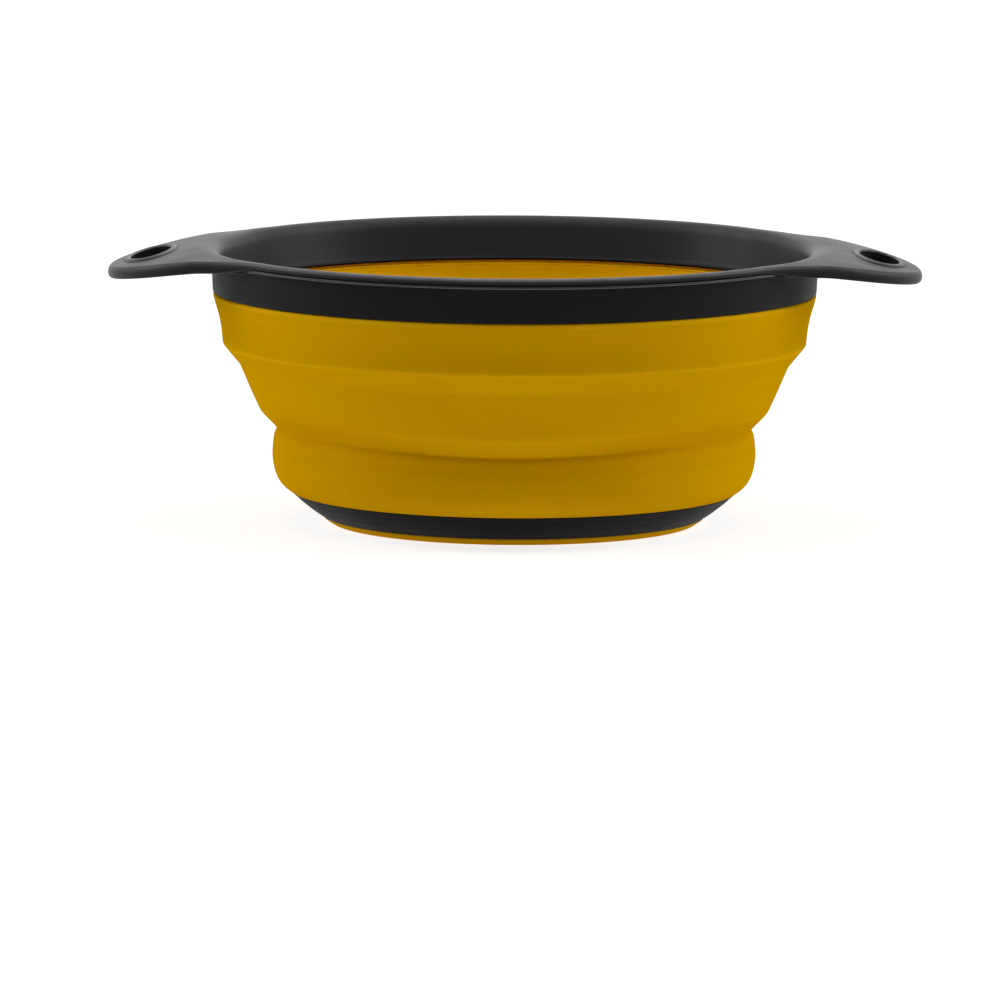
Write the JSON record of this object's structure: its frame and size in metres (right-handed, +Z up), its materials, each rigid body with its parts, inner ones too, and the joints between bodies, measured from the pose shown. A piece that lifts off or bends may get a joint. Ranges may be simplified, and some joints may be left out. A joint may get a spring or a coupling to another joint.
{
  "type": "collapsible colander",
  "caption": "Round colander whose soft mustard wall folds flat between a dark rim with slotted handles and a perforated base on a soft foot, for rinsing and draining food.",
  "frame": {"origin": "on the colander's axis, at the underside of its foot", "axes": "+Z up along the axis, +X through the middle of one handle and -X through the other"},
  "size_m": [0.3174, 0.2418, 0.1078],
  "materials": {
    "silicone": "matte",
    "dark_plastic": "satin"
  },
  "bodies": {
    "base": {"foot_ring": "silicone", "base_ring": "dark_plastic", "drain_plate": "dark_plastic", "belly_wall": "silicone"},
    "rim": {"upper_wall": "silicone", "skirt_ring": "dark_plastic", "rim_frame": "dark_plastic"},
    "hoop_1": {"fold_hoop_1": "silicone"},
    "hoop_2": {"fold_hoop_2": "silicone"},
    "hoop_3": {"fold_hoop_3": "silicone"},
    "hoop_4": {"fold_hoop_4": "silicone"},
    "hoop_5": {"fold_hoop_5": "silicone"},
    "hoop_6": {"fold_hoop_6": "silicone"}
  },
  "joints": [
    {"name": "collapse", "type": "slide", "parent": "base", "child": "rim", "axis": [0, 0, -1], "range_m": [0, 0.07]},
    {"name": "hoop_1_slide", "type": "slide", "parent": "base", "child": "hoop_1", "axis": [0, 0, -1], "range_m": [0, 0.061]},
    {"name": "hoop_2_slide", "type": "slide", "parent": "base", "child": "hoop_2", "axis": [0, 0, -1], "range_m": [0, 0.053]},
    {"name": "hoop_3_slide", "type": "slide", "parent": "base", "child": "hoop_3", "axis": [0, 0, -1], "range_m": [0, 0.039]},
    {"name": "hoop_4_slide", "type": "slide", "parent": "base", "child": "hoop_4", "axis": [0, 0, -1], "range_m": [0, 0.024]},
    {"name": "hoop_5_slide", "type": "slide", "parent": "base", "child": "hoop_5", "axis": [0, 0, -1], "range_m": [0, 0.0115]},
    {"name": "hoop_6_slide", "type": "slide", "parent": "base", "child": "hoop_6", "axis": [0, 0, -1], "range_m": [0, 0.0035]}
  ],
  "couplings": [
    {"joint": "hoop_1_slide", "follows": "collapse", "ratio": 0.87},
    {"joint": "hoop_2_slide", "follows": "collapse", "ratio": 0.75},
    {"joint": "hoop_3_slide", "follows": "collapse", "ratio": 0.55},
    {"joint": "hoop_4_slide", "follows": "collapse", "ratio": 0.34},
    {"joint": "hoop_5_slide", "follows": "collapse", "ratio": 0.16},
    {"joint": "hoop_6_slide", "follows": "collapse", "ratio": 0.045}
  ]
}
